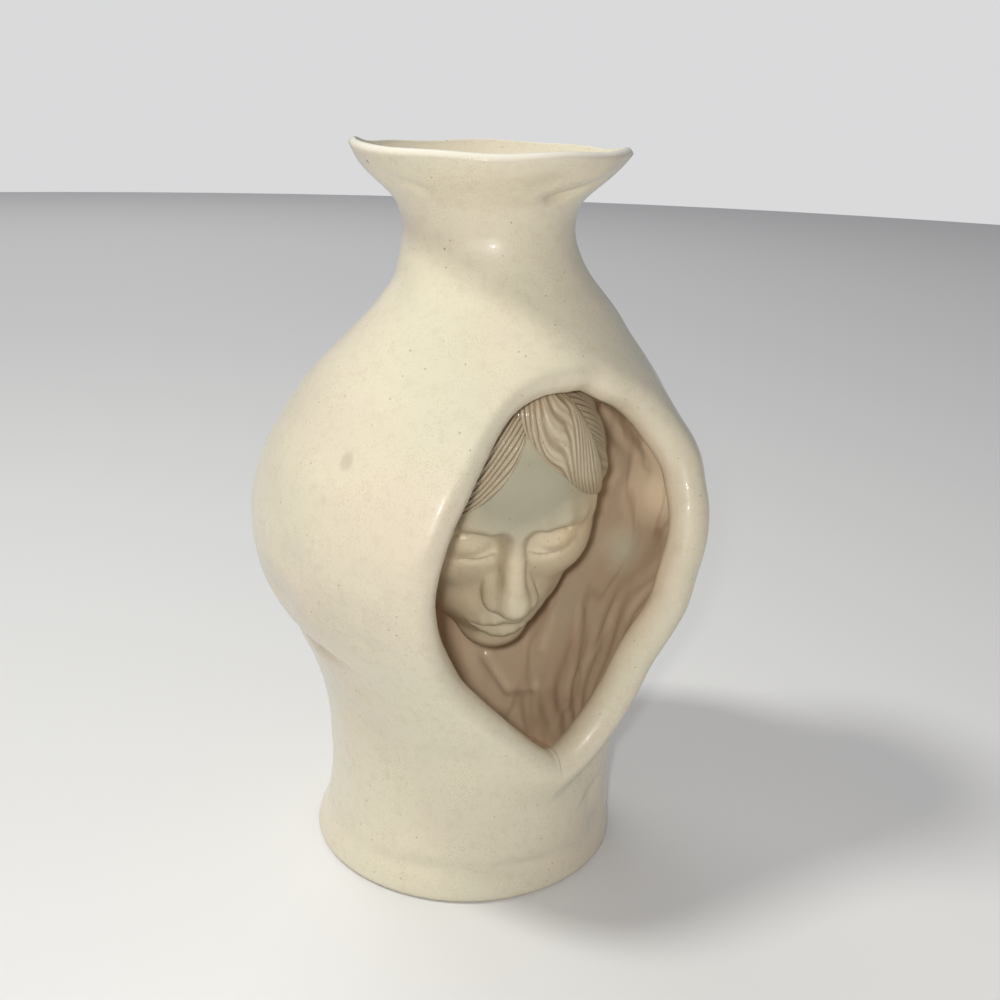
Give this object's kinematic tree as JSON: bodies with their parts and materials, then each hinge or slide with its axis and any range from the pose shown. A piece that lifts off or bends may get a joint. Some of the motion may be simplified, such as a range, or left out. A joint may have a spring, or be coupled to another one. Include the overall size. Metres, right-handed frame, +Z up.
{
  "type": "face vase",
  "caption": "Hand-built glazed vase with a flared mouth and a leaf-shaped window through which a bowed sculpted head looks out.",
  "frame": {"origin": "middle of the flat foot, on the surface that the vase stands on", "axes": "+Z up along the vase, -Y out of the window, +X to the right of somebody who faces the window"},
  "size_m": [0.1913, 0.1759, 0.3],
  "materials": {
    "outer_glaze": "glossy cream glaze over pale stoneware",
    "inner_glaze": "thin pinkish-brown glaze, half gloss",
    "lip_glaze": "glossy cream glaze",
    "head_glaze": "glossy grey-cream glaze",
    "hair_glaze": "cream glaze thin over incised lines"
  },
  "bodies": {
    "root": {"base_slab": "outer_glaze", "foot_seam_coil": "inner_glaze", "foot_wall": "outer_glaze", "belly_wall": "outer_glaze", "upper_belly_wall": "outer_glaze", "shoulder_wall": "outer_glaze", "neck_collar": "outer_glaze", "flared_mouth": "outer_glaze", "window_lip_left": "lip_glaze", "window_lip_right": "lip_glaze", "neck_stem": "inner_glaze", "head": "head_glaze", "ear_left": "head_glaze", "ear_right": "head_glaze", "hair_left": "hair_glaze", "hair_right": "hair_glaze", "hair_roll": "hair_glaze"}
  },
  "joints": []
}
